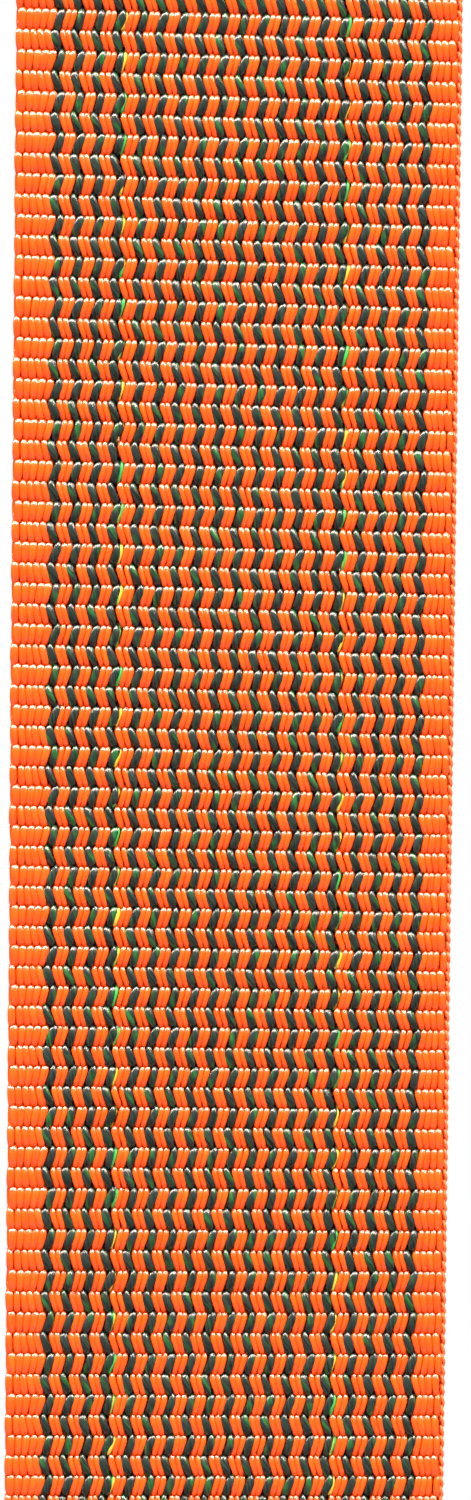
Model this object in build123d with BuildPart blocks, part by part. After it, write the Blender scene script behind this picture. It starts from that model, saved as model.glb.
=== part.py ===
from build123d import *

import math
import os

# A 25 mm woven webbing strap, cut to a sample length with both ends heat-sealed.
# It hangs along -Z from its top end: X is across the width, -Y is the striped front.
# Every warp end runs the length of the strap, over one weft pick and under the next.
# The strap is divided into short lengths, hinged in line, that stand in for its flexing.

# Overall
STRAP_WIDTH = 25.0
LENGTHS = 4  # hinged lengths, one below the other
PICKS_PER_LENGTH = 21
PICK_PITCH = 1.15  # spacing of the weft picks along the strap

# Sealed ends
SEAL_LENGTH = 1.7
SEAL_THICKNESS = 1.3
SEAL_CORNER = 0.5
SEAL_EDGE = 0.25

# Warp ends, each a crimped band
END_THICKNESS = 0.45
GREEN_WIDTH = 0.16
ORANGE_WIDTH = 0.128
TRACER_WIDTH = 0.10
CATCH_WIDTH = 0.14
YARN_GAP = 0.05  # room left between neighbouring yarns

# Pattern across the width
LEFT_MARGIN = 2.32  # left edge to the middle of the first green wale
RIGHT_MARGIN = 2.02
GREEN_ENDS = 2  # in one green wale
ORANGE_ENDS = 4  # in one orange wale
TRACER_WALES = 4  # green wales outside each tracer
SELVEDGE_PITCH = 0.18  # target spacing of the plain selvedge ends

# Weft, two strands to a pick
WEFT_RADIUS = 0.12
STRAND_GAP = 0.16  # between the two strands of one pick
WEFT_CLEARANCE = 0.065  # from a strand to the warp end that crosses over it
TURN_BEND = 0.15  # bend radius of the turn at the left edge
TURN_LEG = 0.05  # straight left after that bend

# Flexing
FLEX_ANGLE = 45.0  # each way at a hinge
HINGE_GAP = 0.03  # from the hinge axis to the tip of each length

# Worked out from the sizes above
GREEN_LANE = GREEN_WIDTH + YARN_GAP
ORANGE_LANE = ORANGE_WIDTH + YARN_GAP
TRACER_LANE = TRACER_WIDTH + YARN_GAP
WALE_PITCH = GREEN_ENDS * GREEN_LANE + ORANGE_ENDS * ORANGE_LANE
FIELD_WIDTH = STRAP_WIDTH - LEFT_MARGIN - RIGHT_MARGIN - 2 * TRACER_LANE
GREEN_WALES = round(FIELD_WIDTH / WALE_PITCH) + 1
WEFT_SPREAD = WEFT_RADIUS + STRAND_GAP / 2
SHOULDER = WEFT_RADIUS * math.sin(math.radians(45))  # where a crossing end passes closest
SHOULDER_TURN = math.pi * (WEFT_SPREAD + SHOULDER) / PICK_PITCH
WAVE_HEIGHT = (END_THICKNESS / 2 + SHOULDER + WEFT_CLEARANCE) / math.cos(SHOULDER_TURN)
HALF_THICKNESS = WAVE_HEIGHT + END_THICKNESS / 2
LENGTH_PITCH = PICKS_PER_LENGTH * PICK_PITCH
STRAP_LENGTH = LENGTHS * LENGTH_PITCH + 2 * SEAL_LENGTH
LEFT_TURN_X = -STRAP_WIDTH / 2 + WEFT_RADIUS
RIGHT_LOOP_X = STRAP_WIDTH / 2 - WEFT_SPREAD - WEFT_RADIUS
LEFT_EDGE_X = LEFT_TURN_X + WEFT_RADIUS + YARN_GAP
FIELD_X = -STRAP_WIDTH / 2 + LEFT_MARGIN - GREEN_ENDS * GREEN_LANE / 2 + YARN_GAP / 2
CATCH_X = RIGHT_LOOP_X - CATCH_WIDTH / 2

# Warp ends of each kind, filled in from left to right: (left side, width, phase).
# Phase 1 passes behind the first pick and -1 in front of it.
warp_ends = {
    "left_selvedge": [],
    "green_wales": [],
    "orange_wales": [],
    "left_tracer": [],
    "right_tracer": [],
    "right_selvedge": [],
    "catch_thread": [],
}
placed = 0  # ends so far, tracers left out


def place_end(kind, x, width):
    """Add one end at x, opposite in phase to the one before. The next lane starts where it returns."""
    global placed
    warp_ends[kind].append((x, width, 1 if placed % 2 == 0 else -1))
    placed += 1
    return x + width + YARN_GAP


def place_selvedge(kind, start, stop):
    """Plain ends that fill the space from start to stop."""
    count = max(2, round((stop - start + YARN_GAP) / SELVEDGE_PITCH))
    width = (stop - start + YARN_GAP) / count - YARN_GAP
    x = start
    for _ in range(count):
        x = place_end(kind, x, width)


def place_field():
    """Green and orange wales, side by side, with a tracer after two of the green ones."""
    tracers = {TRACER_WALES: "left_tracer", GREEN_WALES - TRACER_WALES: "right_tracer"}
    x = FIELD_X
    for wale in range(1, GREEN_WALES + 1):
        for _ in range(GREEN_ENDS):
            x = place_end("green_wales", x, GREEN_WIDTH)
        if wale in tracers:
            warp_ends[tracers[wale]].append((x, TRACER_WIDTH, -1))
            x += TRACER_LANE
        if wale < GREEN_WALES:
            for _ in range(ORANGE_ENDS):
                x = place_end("orange_wales", x, ORANGE_WIDTH)
    return x


def place_warp():
    place_selvedge("left_selvedge", LEFT_EDGE_X, FIELD_X - YARN_GAP)
    field_end = place_field()
    place_selvedge("right_selvedge", field_end, CATCH_X - YARN_GAP)
    place_end("catch_thread", CATCH_X, CATCH_WIDTH)


def length_top(index):
    return -SEAL_LENGTH - index * LENGTH_PITCH


def crimp(index, phase):
    """Middle of a warp end in the YZ plane, at each mid-plane crossing and each peak."""
    side = phase * (-1) ** (index * PICKS_PER_LENGTH)
    return [
        (side * WAVE_HEIGHT * math.sin(half * math.pi / 2), length_top(index) - half * PICK_PITCH / 2)
        for half in range(2 * PICKS_PER_LENGTH + 1)
    ]


def flex_outline(index):
    """Room that one length may fill: V-shaped towards each hinge, flat at a sealed end."""
    top, low = length_top(index), length_top(index + 1)
    reach = 2 * HALF_THICKNESS
    flare = reach * math.tan(math.radians(FLEX_ANGLE / 2)) + HINGE_GAP
    top_tip, top_side = (HINGE_GAP, flare) if index > 0 else (0, 0)
    low_tip, low_side = (HINGE_GAP, flare) if index < LENGTHS - 1 else (0, 0)
    right = [(0, top - top_tip), (reach, top - top_side), (reach, low + low_side)]
    left = [(0, low + low_tip), (-reach, low + low_side), (-reach, top - top_side)]
    return right + left


def warp(kind, index):
    """All ends of one kind in one length."""
    with BuildPart() as ends:
        for phase in (1, -1):
            sides = [x for x, width, its_phase in warp_ends[kind] if its_phase == phase]
            if not sides:
                continue
            front = [(y - END_THICKNESS / 2, z) for y, z in crimp(index, phase)]
            back = [(y + END_THICKNESS / 2, z) for y, z in crimp(index, phase)]
            with BuildSketch(*[Plane.YZ.offset(x) for x in sides]):
                with BuildLine():
                    Spline(*front)
                    Spline(*back)
                    Line(front[0], back[0])
                    Line(front[-1], back[-1])
                make_face()
                with BuildLine():
                    Polyline(*flex_outline(index), close=True)
                make_face(mode=Mode.INTERSECT)
            extrude(amount=warp_ends[kind][0][1], clean=False)
    return ends.part


def weft(index):
    """One strand, doubled in every pick: looped at the right edge, turned at the left."""
    turn_start = LEFT_TURN_X + TURN_BEND + TURN_LEG
    first_pick = length_top(index) - PICK_PITCH / 2
    with BuildPart() as strand:
        with BuildLine(Plane.XZ):
            for pick in range(PICKS_PER_LENGTH):
                middle = first_pick - pick * PICK_PITCH
                high, low = middle + WEFT_SPREAD, middle - WEFT_SPREAD
                Line((turn_start, high), (RIGHT_LOOP_X, high))
                ThreePointArc(
                    (RIGHT_LOOP_X, high),
                    (RIGHT_LOOP_X + WEFT_SPREAD, middle),
                    (RIGHT_LOOP_X, low),
                )
                Line((RIGHT_LOOP_X, low), (turn_start, low))
                if pick < PICKS_PER_LENGTH - 1:
                    FilletPolyline(
                        (turn_start, low),
                        (LEFT_TURN_X, low),
                        (LEFT_TURN_X, high - PICK_PITCH),
                        (turn_start, high - PICK_PITCH),
                        radius=TURN_BEND,
                    )
        with BuildSketch(Plane.YZ.offset(turn_start)):
            with Locations((0, first_pick + WEFT_SPREAD)):
                Circle(WEFT_RADIUS)
        sweep()
    return strand.part


def sealed_end(top):
    """Where the yarns are melted together at a hot-knife cut. The outer face is flat."""
    outward = 1 if top else -1
    face_z = 0 if top else -STRAP_LENGTH
    with BuildPart() as seal:
        with BuildSketch(Plane.XY.offset(face_z)):
            RectangleRounded(STRAP_WIDTH, SEAL_THICKNESS, SEAL_CORNER)
        extrude(amount=-outward * SEAL_LENGTH)
        outer = seal.faces().sort_by(Axis.Z)[-1 if top else 0]
        fillet(outer.edges(), radius=SEAL_EDGE)
    return seal.part


def save(part, label):
    part.label = label
    export_step(part, f"parts/{label}.step")


os.makedirs("parts", exist_ok=True)
place_warp()
for length in range(LENGTHS):
    for kind in warp_ends:
        save(warp(kind, length), f"{kind}_{length + 1}")
    save(weft(length), f"weft_{length + 1}")
save(sealed_end(top=True), "sealed_end_top")
save(sealed_end(top=False), "sealed_end_bottom")
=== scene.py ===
import math

import bpy
import numpy as np
from mathutils import Matrix, Vector


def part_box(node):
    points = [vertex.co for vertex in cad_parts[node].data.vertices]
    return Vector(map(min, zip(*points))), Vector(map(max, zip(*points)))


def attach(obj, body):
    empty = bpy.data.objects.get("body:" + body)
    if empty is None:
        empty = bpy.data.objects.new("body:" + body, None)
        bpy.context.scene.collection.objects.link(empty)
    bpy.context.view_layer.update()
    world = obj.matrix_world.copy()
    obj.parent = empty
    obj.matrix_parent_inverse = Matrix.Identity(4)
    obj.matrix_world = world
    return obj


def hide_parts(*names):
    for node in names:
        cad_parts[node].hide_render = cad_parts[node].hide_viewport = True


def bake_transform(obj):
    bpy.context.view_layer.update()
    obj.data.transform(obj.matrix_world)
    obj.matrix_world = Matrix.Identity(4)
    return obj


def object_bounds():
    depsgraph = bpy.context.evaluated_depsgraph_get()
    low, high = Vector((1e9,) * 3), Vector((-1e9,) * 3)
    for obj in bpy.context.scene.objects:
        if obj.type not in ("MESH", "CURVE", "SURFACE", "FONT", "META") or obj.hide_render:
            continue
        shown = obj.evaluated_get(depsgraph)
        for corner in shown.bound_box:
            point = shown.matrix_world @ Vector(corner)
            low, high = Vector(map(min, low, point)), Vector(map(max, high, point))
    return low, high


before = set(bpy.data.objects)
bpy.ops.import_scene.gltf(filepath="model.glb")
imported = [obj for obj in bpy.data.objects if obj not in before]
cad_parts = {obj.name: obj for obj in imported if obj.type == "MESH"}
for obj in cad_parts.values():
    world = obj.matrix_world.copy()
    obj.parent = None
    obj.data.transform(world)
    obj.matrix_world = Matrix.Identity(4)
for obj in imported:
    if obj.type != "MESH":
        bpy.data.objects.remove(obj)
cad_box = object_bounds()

# The weave is worked out in millimetres, as (x across, y out of the back, u down from the top
# of the woven part). settle() turns it into millimetres of the CAD frame, and mesh() into metres.
MM = 0.001
RNG = np.random.default_rng(25)

# ---------------------------------------------------------------- sizes from the frame
PICKS = 84
YARN_GAP = 0.05
top_seal, low_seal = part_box("sealed_end_top"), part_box("sealed_end_bottom")
WOVEN_TOP = top_seal[0].z / MM
WOVEN_LOW = low_seal[1].z / MM
WOVEN_LENGTH = WOVEN_TOP - WOVEN_LOW
PICK = WOVEN_LENGTH / PICKS
HALF_THICKNESS = cad_box[1].y / MM
STRAP_HALF = cad_box[1].x / MM

field = [side.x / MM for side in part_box("green_wales_1")]
left_edge = [side.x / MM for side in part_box("left_selvedge_1")]
right_edge = [side.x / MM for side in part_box("right_selvedge_1")]
weft_box = [side.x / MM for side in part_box("weft_1")]
catch_box = [side.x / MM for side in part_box("catch_thread_1")]

# ---------------------------------------------------------------- the pattern across the width
GREEN_WALES = 19
GREEN_ENDS = 2  # yarns in one green wale
ORANGE_WALE_ENDS = 4
TRACER_AFTER = (3, 14)  # the green wales, from 0, that a tracer follows
GREEN_LANE = 0.250
EDGE_SPREAD = 0.20  # the selvedge yarns spread towards the left edge, and half as far at the right
TRACER_LANE = 0.15
LEFT_ENDS, RIGHT_ENDS = 10, 8
FIELD_START, FIELD_END = field[0] - YARN_GAP / 2, field[1] + YARN_GAP / 2
GREEN_TOTAL = GREEN_ENDS * GREEN_WALES * GREEN_LANE
TRACER_TOTAL = len(TRACER_AFTER) * TRACER_LANE
ORANGE_TOTAL = FIELD_END - FIELD_START - GREEN_TOTAL - TRACER_TOTAL
ORANGE_LANE = ORANGE_TOTAL / (ORANGE_WALE_ENDS * (GREEN_WALES - 1))

# ---------------------------------------------------------------- yarn shape
RINGS_PER_PICK = 11
SIDES = 12
CROWN_THICKNESS = 0.40  # over a pick, where the yarn is spread flat
CROSS_THICKNESS = 0.48  # between picks, where its neighbours squeeze it
CRIMP = HALF_THICKNESS - CROWN_THICKNESS / 2
SHOULDER = 2.3  # how square each float is, seen from the edge
NESTING = 0.22  # how far a float moves in line with those above and below it, in lanes
ZIGZAG = 0.123  # sideways sway of every wale, once every two picks
SWAY_LAG = 0.3  # radians that the sway comes after the crossings
SETTLED_END = 5.0  # the weave lies straight at a sealed end, and sways from this far on
SWAY_EDGE = 2.2  # the sway dies out over this width at each edge
SKEW = (0.018, -0.009)  # slope of the picks across the width, in the upper and in the lower part
SKEW_CHANGE = (35.0, 50.0)  # where the slope starts to change, and over what length
CROWDING = 0.42  # how far the picks in the lower half are pushed up
CROWDED = (42.0, 28.0)  # where that starts, and over what length it grows
UNCROWDED = (70.0, 20.0)
HEIGHT_DRIFT, SIDE_DRIFT, WIDTH_DRIFT = 0.014, 0.016, 0.05  # of a yarn, from pick to pick
FULLER = 1.3  # spread of a yarn with room beside it
EDGE_PULL, BESIDE_TRACER_PULL = 0.35, 0.3  # how far it moves into that room, in lanes
GREEN_TWIST, TRACER_TWIST = 0.66, 0.10  # of the lobes, in turns to a millimetre
LOBE_DEPTH = 0.18  # of each ply, as a share of the yarn
MAX_START = 500  # a yarn's fibres start anywhere in this many millimetres
FIBRE_STEP = 37.7  # between the fibre coordinates of one tube and the next
WEFT_RADIUS = 0.12
WEFT_SPREAD = 0.20
WEFT_BEND = 0.15
WEFT_INSET = (0.05, 0.04)  # from the CAD weft's outline, at the left and at the right
WEFT_STEP = 0.6
CATCH_RADIUS = 0.11
CATCH_OUTWARD = 0.15  # beyond the CAD thread, round the tips of the weft's loops
CATCH_WIND = (0.06, 0.34)  # half the width and half the depth of its winding
CATCH_DRIFT = 0.006

# ---------------------------------------------------------------- camera, lights and floor
VISIBLE_LENGTH = 84.75 * MM
CAMERA_DISTANCE = 0.42
CAMERA_ROLL = -0.6  # degrees
CAMERA_HEIGHT = 5.0  # degrees above the middle of the strap
AIM = Vector((0.0002, 0, (WOVEN_TOP + WOVEN_LOW) / 2 * MM))
WARM = (1.0, 0.93, 0.82)
AMBIENT, AMBIENT_IN_GLOSS = 0.25, 0.02  # strength of the white world, which the camera sees as 1
FLOOR_RADIUS, FLOOR_DROP, FLOOR_SIDES = 0.7, 0.25, 64


def add_object(name, data):
    made = bpy.data.objects.new(name, data)
    bpy.context.scene.collection.objects.link(made)
    return made


def make_camera():
    camera = add_object("camera", bpy.data.cameras.new("camera"))
    camera.data.sensor_fit = "AUTO"
    camera.data.sensor_width = 36
    camera.data.lens = camera.data.sensor_width * CAMERA_DISTANCE / VISIBLE_LENGTH
    camera.data.clip_start = 0.01
    camera.data.clip_end = 10
    facing = Matrix.Rotation(math.radians(90), 4, "X")
    roll = Matrix.Rotation(math.radians(CAMERA_ROLL), 4, "Y")
    raised = Matrix.Rotation(math.radians(-CAMERA_HEIGHT), 4, "X")
    away = Matrix.Translation((0, -CAMERA_DISTANCE, 0))
    camera.matrix_world = Matrix.Translation(AIM) @ raised @ roll @ away @ facing
    bpy.context.scene.camera = camera


def area_light(name, offset, size, power, glossy, color=(1, 1, 1), size_y=None):
    """A soft light that stands at an offset from the middle of the strap and faces it."""
    data = bpy.data.lights.new(name, "AREA")
    data.shape = "RECTANGLE"
    data.size = size
    data.size_y = size_y or size
    data.energy = power
    data.color = color
    light = add_object(name, data)
    light.location = AIM + Vector(offset)
    light.rotation_euler = (AIM - light.location).to_track_quat("-Z", "Y").to_euler()
    light.visible_glossy = glossy
    light.visible_camera = False


def make_lights():
    area_light("front_fill", (0, -0.7, 0.0), 1.6, 4.0, False)
    area_light("back_fill", (0, 0.7, 0.0), 1.6, 4.0, False)
    area_light("overhead", (-0.03, -0.21, 0.56), 1.6, 30.0, True, WARM, size_y=0.085)
    area_light("overhead_back", (0.05, 0.35, 0.5), 0.2, 3.0, True)

    world = bpy.data.worlds.new("studio")
    bpy.context.scene.world = world
    world.use_nodes = True
    tree = world.node_tree
    background = tree.nodes["Background"]
    path = tree.nodes.new("ShaderNodeLightPath")
    lit, seen = tree.nodes.new("ShaderNodeMix"), tree.nodes.new("ShaderNodeMix")
    lit.data_type = seen.data_type = "RGBA"
    tree.links.new(path.outputs["Is Glossy Ray"], lit.inputs["Factor"])
    lit.inputs["A"].default_value = (AMBIENT, AMBIENT, AMBIENT, 1)
    lit.inputs["B"].default_value = (AMBIENT_IN_GLOSS, AMBIENT_IN_GLOSS, AMBIENT_IN_GLOSS, 1)
    tree.links.new(path.outputs["Is Camera Ray"], seen.inputs["Factor"])
    tree.links.new(lit.outputs["Result"], seen.inputs["A"])
    seen.inputs["B"].default_value = (1, 1, 1, 1)
    tree.links.new(seen.outputs["Result"], background.inputs["Color"])
    bpy.context.scene.view_settings.view_transform = "Standard"


def make_floor():
    material = bpy.data.materials.new("floor")
    material.use_nodes = True
    surface = material.node_tree.nodes["Principled BSDF"].inputs
    surface["Base Color"].default_value = (0.9, 0.9, 0.9, 1)
    surface["Roughness"].default_value = 0.9
    data = bpy.data.meshes.new("floor")
    z = cad_box[0].z - FLOOR_DROP
    turns = np.linspace(0, 2 * math.pi, FLOOR_SIDES, endpoint=False)
    rim = [(FLOOR_RADIUS * math.cos(a), FLOOR_RADIUS * math.sin(a), z) for a in turns]
    data.from_pydata(rim, [], [list(range(FLOOR_SIDES))])
    data.materials.append(material)
    floor = add_object("floor", data)
    floor.visible_glossy = False


make_camera()
make_lights()
make_floor()


# ---------------------------------------------------------------- materials
class Shader:
    """A Principled material with short calls for the nodes that feed it."""

    def __init__(self, name, roughness, specular):
        self.material = bpy.data.materials.new(name)
        self.material.use_nodes = True
        self.tree = self.material.node_tree
        self.principled = self.tree.nodes["Principled BSDF"]
        self.principled.inputs["Roughness"].default_value = roughness
        self.principled.inputs["Specular IOR Level"].default_value = specular

    def node(self, kind, **settings):
        made = self.tree.nodes.new(kind)
        for key, value in settings.items():
            setattr(made, key, value)
        return made

    def link(self, source, target):
        self.tree.links.new(source, target)

    def feed(self, sockets, values):
        """Set each socket to its number or colour, or link it to the output given."""
        for socket, value in zip(sockets, values):
            if isinstance(value, (int, float)):
                socket.default_value = value
            elif isinstance(value, tuple):
                socket.default_value = (*value, 1)
            else:
                self.link(value, socket)

    def math(self, operation, a, b=0.0):
        made = self.node("ShaderNodeMath", operation=operation)
        self.feed(made.inputs, (a, b))
        return made.outputs["Value"]

    def uv(self, layer):
        uv = self.node("ShaderNodeUVMap", uv_map=layer)
        parts = self.node("ShaderNodeSeparateXYZ")
        self.link(uv.outputs["UV"], parts.inputs["Vector"])
        return parts.outputs["X"], parts.outputs["Y"]

    def fibre(self):
        """(around the yarn from 0 to 1, millimetres along it)"""
        return self.uv("fibre")

    def vector(self, x, y):
        made = self.node("ShaderNodeCombineXYZ")
        self.feed(made.inputs, (x, y))
        return made.outputs["Vector"]

    def noise(self, vector, scale, detail):
        made = self.node("ShaderNodeTexNoise")
        made.inputs["Scale"].default_value = scale
        made.inputs["Detail"].default_value = detail
        self.link(vector, made.inputs["Vector"])
        return made.outputs["Fac"]

    def ramp(self, factor, *stops):
        made = self.node("ShaderNodeValToRGB")
        elements = made.color_ramp.elements
        while len(elements) < len(stops):
            elements.new(0.5)
        for element, (position, color) in zip(elements, stops):
            element.position = position
            element.color = (*color, 1)
        self.link(factor, made.inputs["Fac"])
        return made.outputs["Color"]

    def mix(self, factor, a, b):
        made = self.node("ShaderNodeMix", data_type="RGBA")
        self.feed([made.inputs[name] for name in ("Factor", "A", "B")], (factor, a, b))
        return made.outputs["Result"]

    def color(self, socket):
        self.link(socket, self.principled.inputs["Base Color"])

    def bump(self, height, strength, distance):
        made = self.node("ShaderNodeBump")
        made.inputs["Strength"].default_value = strength
        made.inputs["Distance"].default_value = distance
        self.link(height, made.inputs["Height"])
        self.link(made.outputs["Normal"], self.principled.inputs["Normal"])


def filaments(shader, twist=0.12, fineness=26.0):
    """Noise drawn out along the yarn's filaments, which wind round it slowly."""
    around, along = shader.fibre()
    wound = shader.math("ADD", around, shader.math("MULTIPLY", along, twist))
    across = shader.math("MULTIPLY", wound, fineness)
    return shader.noise(shader.vector(across, shader.math("MULTIPLY", along, 0.8)), 1.0, 3.0)


def patches(shader, scale=0.35):
    """Slow change of tone along a yarn and from yarn to yarn."""
    around, along = shader.fibre()
    return shader.noise(shader.vector(shader.math("MULTIPLY", around, 0.3), along), scale, 1.0)


BLACK, WHITE = (0, 0, 0), (1, 1, 1)
FILAMENT_RELIEF = 0.00004  # metres
GREEN_PLY_TURNS, TRACER_PLY_TURNS = 0.33, 0.10  # turns to a millimetre


def orange_yarn():
    shader = Shader("orange_yarn", 0.25, 0.9)
    streaks = filaments(shader, fineness=15.0)
    fresh = shader.ramp(streaks, (0.30, (0.70, 0.052, 0.001)), (0.62, (0.82, 0.074, 0.002)))
    faded = shader.ramp(streaks, (0.30, (0.78, 0.064, 0.001)), (0.62, (0.88, 0.096, 0.003)))
    tone = shader.ramp(patches(shader), (0.40, BLACK), (0.65, WHITE))
    shader.color(shader.mix(tone, fresh, faded))
    shader.bump(streaks, 0.8, FILAMENT_RELIEF)
    return shader.material


def green_yarn():
    shader = Shader("green_yarn", 0.25, 0.6)
    around, along = shader.fibre()
    streaks = filaments(shader, GREEN_PLY_TURNS, 15.0)
    wound = shader.math("ADD", around, shader.math("MULTIPLY", along, GREEN_PLY_TURNS))
    ply = shader.math("FRACT", shader.math("MULTIPLY", wound, 2.0))
    slate = shader.ramp(streaks, (0.30, (0.005, 0.012, 0.011)), (0.68, (0.024, 0.040, 0.036)))
    green = shader.ramp(streaks, (0.30, (0.005, 0.040, 0.012)), (0.68, (0.022, 0.130, 0.034)))
    one_ply = shader.ramp(ply, (0.55, BLACK), (0.65, WHITE), (0.90, WHITE), (1.0, BLACK))
    some = shader.ramp(patches(shader, 0.9), (0.45, BLACK), (0.60, WHITE))
    shader.color(shader.mix(shader.math("MULTIPLY", one_ply, some), slate, green))
    shader.bump(streaks, 0.8, FILAMENT_RELIEF)
    return shader.material


def tracer_yarn():
    shader = Shader("tracer_yarn", 0.4, 0.4)
    around, along = shader.fibre()
    wound = shader.math("ADD", around, shader.math("MULTIPLY", along, TRACER_PLY_TURNS))
    ply = shader.math("FRACT", wound)
    shader.color(
        shader.ramp(
            ply,
            (0.0, (0.60, 0.40, 0.03)),
            (0.45, (0.66, 0.48, 0.04)),
            (0.52, (0.03, 0.42, 0.07)),
            (0.94, (0.02, 0.30, 0.05)),
            (1.0, (0.60, 0.40, 0.03)),
        )
    )
    shader.bump(filaments(shader, TRACER_PLY_TURNS, 14.0), 0.5, FILAMENT_RELIEF / 2)
    return shader.material


def plain_orange(name, low, high):
    shader = Shader(name, 0.42, 0.45)
    streaks = filaments(shader)
    shader.color(shader.ramp(streaks, (0.30, low), (0.65, high)))
    shader.bump(streaks, 0.5, 0.00003)
    return shader.material


def sealed_yarn():
    """Melted yarn: the wales' colours run together and brown towards the cut."""
    shader = Shader("sealed_yarn", 0.32, 0.5)
    green, outward = shader.uv("stripe")
    place = shader.node("ShaderNodeNewGeometry")
    mottle = shader.noise(place.outputs["Position"], 1400.0, 4.0)

    def ragged(value, amount):
        uneven = shader.math("MULTIPLY", shader.math("SUBTRACT", mottle, 0.5), amount)
        return shader.math("ADD", value, uneven)

    edge = ragged(green, 0.9)
    striped = shader.ramp(edge, (0.35, (0.62, 0.045, 0.002)), (0.65, (0.022, 0.036, 0.022)))
    burnt = shader.ramp(mottle, (0.35, (0.10, 0.020, 0.006)), (0.70, (0.42, 0.050, 0.008)))
    char = shader.ramp(ragged(outward, 0.6), (0.55, BLACK), (1.0, WHITE))
    shader.color(shader.mix(char, striped, burnt))
    shader.bump(mottle, 0.6, 0.00008)
    return shader.material


MATERIALS = {
    "orange_yarn": orange_yarn(),
    "green_yarn": green_yarn(),
    "tracer_yarn": tracer_yarn(),
    "weft_yarn": plain_orange("weft_yarn", (0.60, 0.040, 0.001), (0.85, 0.080, 0.003)),
    "catch_yarn": plain_orange("catch_yarn", (0.90, 0.090, 0.010), (1.0, 0.200, 0.050)),
    "sealed_yarn": sealed_yarn(),
}


# ---------------------------------------------------------------- from weave to mesh
def smooth(t):
    t = np.clip(t, 0, 1)
    return t * t * (3 - 2 * t)


def settle(points):
    """Weave coordinates, as woven, to millimetres of the CAD frame: the wales sway, the picks slope
    and the picks of the lower half are crowded upwards."""
    x, y, u = points[..., 0], points[..., 1], points[..., 2]
    ends = smooth(u / SETTLED_END) * smooth((WOVEN_LENGTH - u) / SETTLED_END)
    lower = smooth((u - SKEW_CHANGE[0]) / SKEW_CHANGE[1])
    slope = ends * (SKEW[0] + (SKEW[1] - SKEW[0]) * lower)
    inside = smooth((STRAP_HALF - np.abs(x)) / SWAY_EDGE)
    sway = ZIGZAG * ends * inside * np.cos(math.pi * u / PICK - SWAY_LAG)
    crowding = CROWDING * smooth((u - CROWDED[0]) / CROWDED[1])
    crowding = crowding - CROWDING * smooth((u - UNCROWDED[0]) / UNCROWDED[1])
    return np.stack([x + sway, y, WOVEN_TOP - u - slope * x + crowding], axis=-1)


def unit(vectors):
    return vectors / np.linalg.norm(vectors, axis=1)[:, None]


def ring_tube(centre, across, up, half_width, half_thickness, along, square, plies=0, twist=0.0):
    """One yarn as rings of points. Its cross-section is a squared ellipse with a lobe for each ply."""
    angle = np.arange(SIDES) * 2 * math.pi / SIDES
    c, s = np.cos(angle), np.sin(angle)
    shape_c = np.sign(c) * np.abs(c) ** (2 / square)
    shape_s = np.sign(s) * np.abs(s) ** (2 / square)
    lobes = np.ones((len(centre), SIDES))
    if plies:
        turned = angle[None, :] + 2 * math.pi * twist * along[:, None] / plies
        lobes += LOBE_DEPTH * np.cos(plies * turned)
    a = (half_width[:, None] * shape_c * lobes)[..., None] * across[:, None, :]
    b = (half_thickness[:, None] * shape_s * lobes)[..., None] * up[:, None, :]
    return {"points": centre[:, None, :] + a + b, "along": along}


def frames_in_yz(centre):
    """Across and up vectors of a yarn that runs in the YU plane. Up points to the front."""
    slope = np.gradient(centre, axis=0)
    slope[:, 0] = 0
    slope = unit(slope)
    across = np.tile([1.0, 0.0, 0.0], (len(centre), 1))
    up = np.stack([0 * slope[:, 0], -slope[:, 2], slope[:, 1]], axis=1)
    return across, up


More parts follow.
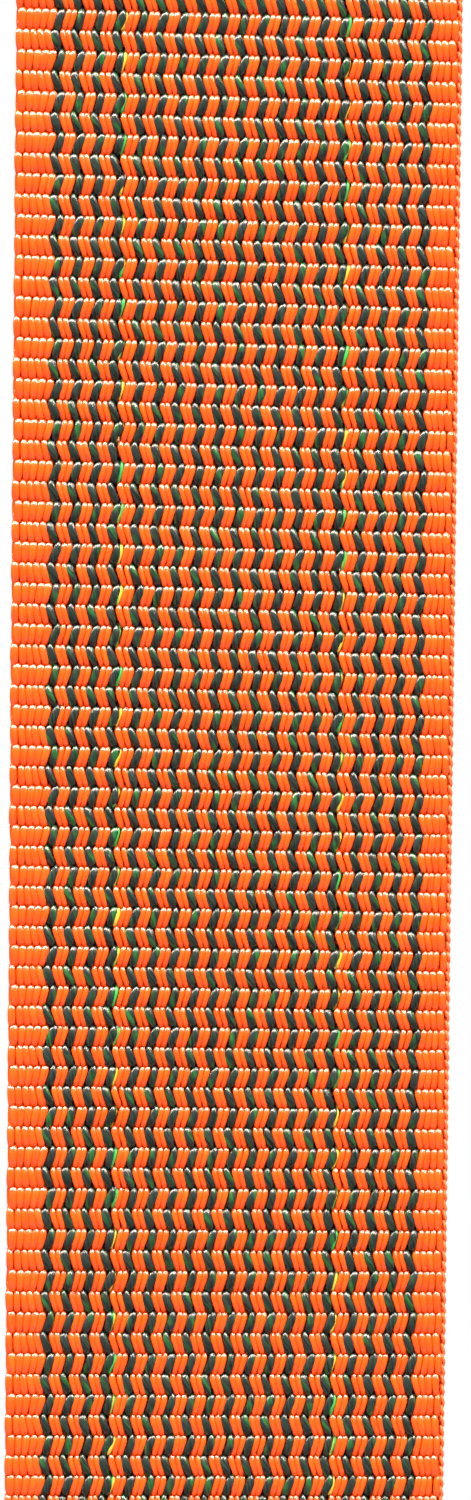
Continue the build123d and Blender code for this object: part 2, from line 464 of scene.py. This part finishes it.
def mesh(name, tubes, material):
    """One mesh of closed tubes, with UVs along the fibres and a strip of the bake for each tube."""
    points, corners, sizes, starts, smooth_faces, fibre, bake = [], [], [], [], [], [], []
    first = loop = 0
    for index, tube in enumerate(tubes):
        rings, sides = tube["points"].shape[:2]
        along = tube["along"]
        points.append(settle(tube["points"]).reshape(-1, 3))
        i, k = np.meshgrid(np.arange(rings - 1), np.arange(sides), indexing="ij")
        a, b = i * sides + k, i * sides + (k + 1) % sides
        quads = np.stack([a, b, b + sides, a + sides], axis=-1).reshape(-1, 4) + first
        caps = [np.arange(sides)[::-1] + first, np.arange(sides) + first + (rings - 1) * sides]
        around = np.stack([k, k + 1, k + 1, k], axis=-1) / sides
        length = np.stack([along[i], along[i], along[i + 1], along[i + 1]], axis=-1)
        share = (length - along[0]) / (along[-1] - along[0])
        cap_uv = np.zeros((2 * sides, 2)) + 0.5
        fibre += [np.stack([around, length + FIBRE_STEP * index], axis=-1).reshape(-1, 2), cap_uv]
        strip = (index + 0.04 + 0.92 * around) / len(tubes)
        bake += [
            np.stack([strip, 0.002 + 0.996 * share], axis=-1).reshape(-1, 2),
            np.full((2 * sides, 2), ((index + 0.5) / len(tubes), 0.5)),
        ]
        corners += [quads.ravel(), *caps]
        sizes += [np.full(len(quads), 4), [sides, sides]]
        starts += [loop + 4 * np.arange(len(quads)), loop + 4 * len(quads) + np.array([0, sides])]
        smooth_faces += [np.ones(len(quads), bool), [False, False]]
        first += rings * sides
        loop += 4 * len(quads) + 2 * sides
    data = bpy.data.meshes.new(name)
    data.vertices.add(first)
    metres = np.concatenate(points) * MM
    data.vertices.foreach_set("co", metres.astype(np.float32).ravel())
    data.loops.add(loop)
    data.loops.foreach_set("vertex_index", np.concatenate(corners).astype(np.int32))
    data.polygons.add(sum(len(s) for s in sizes))
    data.polygons.foreach_set("loop_start", np.concatenate(starts).astype(np.int32))
    data.polygons.foreach_set("loop_total", np.concatenate(sizes).astype(np.int32))
    data.update(calc_edges=True)
    data.polygons.foreach_set("use_smooth", np.concatenate(smooth_faces))
    for layer, values in (("fibre", fibre), ("OFBake", bake)):
        layer_data = data.uv_layers.new(name=layer).data
        layer_data.foreach_set("uv", np.concatenate(values).astype(np.float32).ravel())
    data.materials.append(material)
    return add_object(name, data)


# ---------------------------------------------------------------- warp yarns
def per_pick(u, spread):
    """A value that drifts from pick to pick."""
    return np.interp(u, np.arange(PICKS + 1) * PICK, RNG.normal(0, spread, PICKS + 1))


def float_profile(u):
    """Height of a yarn from the mid-plane, from -1 to 1: flat on each float, steep between two."""
    return np.tanh(SHOULDER * np.sin(math.pi * u / PICK)) / math.tanh(SHOULDER)


def ring_places():
    """Places for the rings, evenly spaced along a yarn's own line, with one at every crossing."""
    fine = np.linspace(0, PICK, 400)
    steps = np.hypot(np.diff(fine), np.diff(CRIMP * float_profile(fine)))
    length = np.concatenate([[0], np.cumsum(steps)])
    one = np.interp(np.arange(RINGS_PER_PICK) / RINGS_PER_PICK * length[-1], length, fine)
    every = one[None, :] + PICK * np.arange(PICKS)[:, None]
    return np.concatenate([every.ravel(), [WOVEN_LENGTH]])


def warp_end(x, lane, phase, plies, twist, fullness, pull, leaf, sunk, loose=1.0):
    """One warp yarn, the whole length: over one pick and under the next, spread on each float.

    fullness is how far it spreads, pull moves its front floats sideways, leaf gives them pointed
    ends, sunk lowers them and loose makes them less regular.
    """
    u = ring_places()
    wave = float_profile(u)
    crown = np.abs(wave)
    height = CRIMP - sunk + per_pick(u, HEIGHT_DRIFT * loose)
    front = np.maximum(0, -phase * wave)
    sideways = x + per_pick(u, SIDE_DRIFT * loose) + pull * front
    centre = np.stack([sideways, phase * height * wave, u], axis=1)
    across, up = frames_in_yz(centre)
    if leaf:
        waist, crest, square, spread = 0.50, 1.08, 2.4, np.abs(np.sin(math.pi * u / PICK)) ** 0.7
    else:
        waist, crest, square, spread = 0.68, 1.12, 3.0, crown
    half_width = lane * (waist + (crest - waist) * fullness * spread) * (1 + per_pick(u, WIDTH_DRIFT))
    half_thickness = (CROSS_THICKNESS + (CROWN_THICKNESS - CROSS_THICKNESS) * crown**2) / 2
    half_thickness = half_thickness * (0.6 + 0.4 * fullness)
    along = u + RNG.uniform(0, MAX_START)
    return ring_tube(centre, across, up, half_width, half_thickness, along, square, plies, twist)


def green_part(wale):
    if wale <= TRACER_AFTER[0]:
        return "left"
    return "right" if wale > TRACER_AFTER[1] else "middle"


def orange_part(wale):
    """Part of the strap that the orange wale after this green one is in."""
    if wale < TRACER_AFTER[0]:
        return "left"
    if wale > TRACER_AFTER[1]:
        return "right"
    return "middle_left" if wale <= sum(TRACER_AFTER) // 2 else "middle_right"


def lanes():
    """Every warp end from left to right, as (group, middle, lane width)."""
    found = []
    x = left_edge[0] - EDGE_SPREAD
    pitch = (FIELD_START - x) / LEFT_ENDS
    found += [("left_selvedge", x + (i + 0.5) * pitch, pitch) for i in range(LEFT_ENDS)]
    x = FIELD_START
    for wale in range(GREEN_WALES):
        row = [(f"green_{green_part(wale)}", GREEN_LANE)] * GREEN_ENDS
        if wale in TRACER_AFTER:
            side = "left" if wale == TRACER_AFTER[0] else "right"
            row.append((f"tracer_{side}", TRACER_LANE))
        if wale < GREEN_WALES - 1:
            row += [(f"orange_{orange_part(wale)}", ORANGE_LANE)] * ORANGE_WALE_ENDS
        for group, lane in row:
            found.append((group, x + lane / 2, lane))
            x += lane
    x = FIELD_END
    pitch = (right_edge[1] + EDGE_SPREAD / 2 - x) / RIGHT_ENDS
    found += [("right_selvedge", x + (i + 0.5) * pitch, pitch) for i in range(RIGHT_ENDS)]
    return found


def weave():
    """Every warp yarn, in the group that it belongs to. Neighbours pass opposite ways."""
    groups, count = {}, 0
    ends = lanes()
    for index, (group, x, lane) in enumerate(ends):
        if group.startswith("tracer"):
            yarn = warp_end(x, lane, -1, 2, TRACER_TWIST, 0.7, -NESTING * lane, True, 0.05, 3.0)
        else:
            phase = 1 if count % 2 == 0 else -1
            pull, fullness = NESTING * phase * lane, 1.0
            if ends[index - 1][0].startswith("tracer"):
                pull, fullness = -BESIDE_TRACER_PULL * TRACER_LANE, FULLER
            elif index in (0, len(ends) - 1):
                pull = 0.0
            elif index == 1:
                pull, fullness = -EDGE_PULL * lane, FULLER
            elif index == len(ends) - 2:
                pull, fullness = EDGE_PULL * lane, FULLER
            leaf = group.startswith("green")
            plies, twist, sunk = (2, GREEN_TWIST, -0.03) if leaf else (0, 0.0, 0.0)
            yarn = warp_end(x, lane, phase, plies, twist, fullness, pull, leaf, sunk)
            count += 1
        groups.setdefault(group, []).append(yarn)
    return groups


# ---------------------------------------------------------------- weft and catch thread
def line_points(a, b, step):
    count = max(2, int(math.dist(a, b) / step) + 1)
    a, b = np.array(a), np.array(b)
    return [a + (b - a) * t for t in np.linspace(0, 1, count)]


def arc_points(centre, radius, start, stop, count):
    angles = np.linspace(math.radians(start), math.radians(stop), count)
    return [np.array(centre) + radius * np.array([math.cos(a), math.sin(a)]) for a in angles]


def weft_route():
    """The weft's line in (x, u): two strands to a pick, looped at the right, turned at the left."""
    bend = WEFT_BEND
    left = weft_box[0] + WEFT_RADIUS + WEFT_INSET[0]
    right = weft_box[1] - WEFT_RADIUS - WEFT_SPREAD - WEFT_INSET[1]
    route = []
    for pick in range(PICKS):
        middle = (pick + 0.5) * PICK
        high, low = middle - WEFT_SPREAD, middle + WEFT_SPREAD
        route += line_points((left + bend, high), (right, high), WEFT_STEP)
        route += arc_points((right, middle), WEFT_SPREAD, -90, 90, 9)[1:]
        route += line_points((right, low), (left + bend, low), WEFT_STEP)[1:]
        if pick < PICKS - 1:
            following = high + PICK
            route += arc_points((left + bend, low + bend), bend, 270, 180, 5)[1:]
            route += arc_points((left + bend, following - bend), bend, 180, 90, 5)[:-1]
    return np.array(route)


def weft_tubes():
    route = weft_route()
    centre = np.stack([route[:, 0], 0 * route[:, 0], route[:, 1]], axis=1)
    up = np.tile([0.0, -1.0, 0.0], (len(centre), 1))
    across = np.cross(unit(np.gradient(centre, axis=0)), up)
    step = np.linalg.norm(np.diff(centre, axis=0), axis=1)
    along = np.concatenate([[0], np.cumsum(step)])
    radius = np.full(len(centre), WEFT_RADIUS)
    return [ring_tube(centre, across, up, radius, radius, along, 2.0)]


def catch_tubes():
    """Two fine strands that wind down the right edge, round the ends of the weft's loops."""
    rings = PICKS * RINGS_PER_PICK + 1
    u = np.linspace(0, WOVEN_LENGTH, rings)
    middle = (catch_box[0] + catch_box[1]) / 2 + CATCH_OUTWARD
    wide, deep = CATCH_WIND
    tubes = []
    for start in (0.0, math.pi):
        turn = 2 * math.pi * u / PICK + start
        centre = np.stack([middle + wide * np.cos(turn), deep * np.sin(turn), u], axis=1)
        drift = RNG.normal(0, CATCH_DRIFT, (PICKS + 1, 3))
        centre += drift[np.arange(rings) // RINGS_PER_PICK]
        tangent = unit(np.gradient(centre, axis=0))
        outward = np.stack([np.cos(turn), np.sin(turn), 0 * u], axis=1)
        across = unit(np.cross(outward, tangent))
        up = np.cross(tangent, across)
        radius = np.full(rings, CATCH_RADIUS)
        along = u + RNG.uniform(0, MAX_START)
        tubes.append(ring_tube(centre, across, up, radius, radius, along, 2.0))
    return tubes


# ---------------------------------------------------------------- pieces
# name: (first pick, last pick, body above, body below, joint, lengths whose CAD it replaces)
ZONES = {
    "upper": (0, 31, "length_1", "length_2", "flex_1", (1,)),
    "middle": (31, 53, "length_2", "length_3", "flex_2", (2, 3)),
    "lower": (53, 84, "length_3", "length_4", "flex_3", (4,)),
}
# group of yarns: (CAD node, slot)
SYSTEMS = {
    "green_left": ("green_wales", "green_yarn"),
    "green_middle": ("green_wales", "green_yarn"),
    "green_right": ("green_wales", "green_yarn"),
    "orange_left": ("orange_wales", "orange_yarn"),
    "orange_middle_left": ("orange_wales", "orange_yarn"),
    "orange_middle_right": ("orange_wales", "orange_yarn"),
    "orange_right": ("orange_wales", "orange_yarn"),
    "left_selvedge": ("left_selvedge", "orange_yarn"),
    "right_selvedge": ("right_selvedge", "orange_yarn"),
    "tracer_left": ("left_tracer", "tracer_yarn"),
    "tracer_right": ("right_tracer", "tracer_yarn"),
    "weft": ("weft", "weft_yarn"),
    "catch_thread": ("catch_thread", "catch_yarn"),
}


def cut(tube, low, high):
    """The stretch of a yarn between two places along the strap."""
    u = tube["points"][:, :, 2].mean(axis=1)
    inside = np.nonzero((u >= low - 1e-6) & (u <= high + 1e-6))[0]
    keep = slice(inside[0], inside[-1] + 1)
    return {"points": tube["points"][keep], "along": tube["along"][keep]}


def make_pieces():
    groups = weave()
    groups["weft"] = weft_tubes()
    groups["catch_thread"] = catch_tubes()
    for zone, (first, last, above, below, joint, lengths) in ZONES.items():
        for group, tubes in groups.items():
            node, slot = SYSTEMS[group]
            stretch = [cut(tube, first * PICK, last * PICK) for tube in tubes]
            piece = mesh(f"{zone}_{group}", stretch, MATERIALS[slot])
            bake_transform(piece)
            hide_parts(*[f"{node}_{n}" for n in lengths])


# ---------------------------------------------------------------- sealed ends
SEAL_COLUMNS = 420
SEAL_EDGE = 0.25  # radius round the cut face
SEAL_EDGE_LEVELS = 6
SEAL_OVERLAP = (-0.45, -0.25, 0.0)  # levels that reach into the weave
RIDGE_PITCH, RIDGE_HEIGHT = 0.38, 0.05
SEAL_BULGE = 0.04
SEAL_WOBBLE, WOBBLE_PLACES = 0.02, 70


def greenness(x):
    """For each place across the width, 1 on a green wale and 0 elsewhere."""
    middles = np.array([middle for group, middle, lane in lanes() if group.startswith("green")])
    nearest = np.min(np.abs(x[:, None] - middles[None, :]), axis=1)
    return 1 - smooth((nearest - GREEN_LANE * 0.4) / (GREEN_LANE * 0.5))


def sealed_end(name, body, box, outward):
    """A melted tip: ridged by the yarns where it meets the weave, smooth and flat at the cut."""
    half_width, half_depth = box[1].x / MM, box[1].y / MM
    inner = (box[0].z if outward > 0 else box[1].z) / MM
    outer = (box[1].z if outward > 0 else box[0].z) / MM
    length = abs(outer - inner)
    rim_start = length - SEAL_EDGE
    t = np.linspace(-1, 1, SEAL_COLUMNS)
    profile = (1 - np.abs(t) ** 34) ** 0.5
    levels = [*SEAL_OVERLAP, *np.linspace(0.15, rim_start, 6)]
    rounding = np.linspace(0.3, math.pi / 2, SEAL_EDGE_LEVELS)
    levels += [rim_start + SEAL_EDGE * math.sin(a) for a in rounding]
    bumps = RNG.normal(0, SEAL_WOBBLE, WOBBLE_PLACES)
    wobble = np.interp(t, np.linspace(-1, 1, WOBBLE_PLACES), bumps)
    rows, marks = [], []
    for level in levels:
        share = level / length
        rim = max(0.0, level - rim_start) / SEAL_EDGE
        shrink = SEAL_EDGE * (1 - math.sqrt(max(0.0, 1 - rim * rim)))
        wave = np.cos(2 * math.pi * t * half_width / RIDGE_PITCH)
        ridge = RIDGE_HEIGHT * wave * (1 - smooth(share * 1.3))
        bulge = SEAL_BULGE * math.sin(math.pi * min(1.0, max(0.0, share)))
        front = (half_depth - shrink + bulge) * profile + (ridge + wobble) * profile
        back = (half_depth - shrink + bulge) * profile + (np.roll(ridge, 4) - wobble) * profile
        x = t * (half_width - shrink)
        z = inner + outward * level
        ring = [(xx, -yy, z) for xx, yy in zip(x, front)]
        ring += [(xx, yy, z) for xx, yy in zip(x[::-1], back[::-1])]
        rows.append(ring)
        marks.append(share)
    rings, sides = len(rows), 2 * SEAL_COLUMNS
    points = np.array(rows).reshape(-1, 3)
    faces = []
    for i in range(rings - 1):
        for k in range(sides):
            a, b = i * sides + k, i * sides + (k + 1) % sides
            faces.append((a, b, b + sides, a + sides))
    faces.append(tuple(range((rings - 1) * sides, rings * sides)))
    faces.append(tuple(range(sides))[::-1])
    if outward < 0:
        faces = [face[::-1] for face in faces]
    data = bpy.data.meshes.new(name)
    data.from_pydata((points * MM).tolist(), [], faces)
    data.polygons.foreach_set("use_smooth", [True] * (len(faces) - 2) + [False, False])
    corners = np.zeros(len(data.loops), np.int32)
    data.loops.foreach_get("vertex_index", corners)
    stripe = np.stack([greenness(points[:, 0]), np.repeat(marks, sides)], axis=-1)
    data.uv_layers.new(name="stripe").data.foreach_set("uv", stripe[corners].ravel())
    data.materials.append(MATERIALS["sealed_yarn"])
    piece = add_object(name, data)
    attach(piece, body)
    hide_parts(name.replace("melted", "sealed"))


make_pieces()
sealed_end("melted_end_top", "length_1", top_seal, 1)
sealed_end("melted_end_bottom", "length_4", low_seal, -1)
